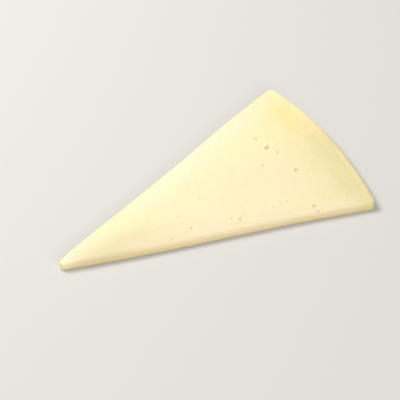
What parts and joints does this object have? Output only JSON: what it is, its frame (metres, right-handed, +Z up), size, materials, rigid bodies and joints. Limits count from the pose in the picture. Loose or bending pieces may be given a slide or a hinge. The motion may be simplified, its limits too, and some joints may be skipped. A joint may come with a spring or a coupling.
{
  "type": "manchego wedge slice",
  "caption": "Thin wedge-shaped slice of hard pale yellow cheese with two straight cuts meeting in a soft tip, a gently curved outer edge and small scattered eyes.",
  "frame": {"origin": "middle of the underside's bounding box, on the surface that the slice lies on", "axes": "+X from the tip towards the curved outer edge, along the middle line of the wedge; +Z up, out of the top face; +Y towards the longer straight cut"},
  "size_m": [0.0976, 0.0616, 0.0031],
  "materials": {
    "cheese_paste": "soft, faintly oily cut cheese paste, ivory yellow, translucent at thin edges"
  },
  "bodies": {
    "root": {"cheese_slice": "cheese_paste"}
  },
  "joints": []
}
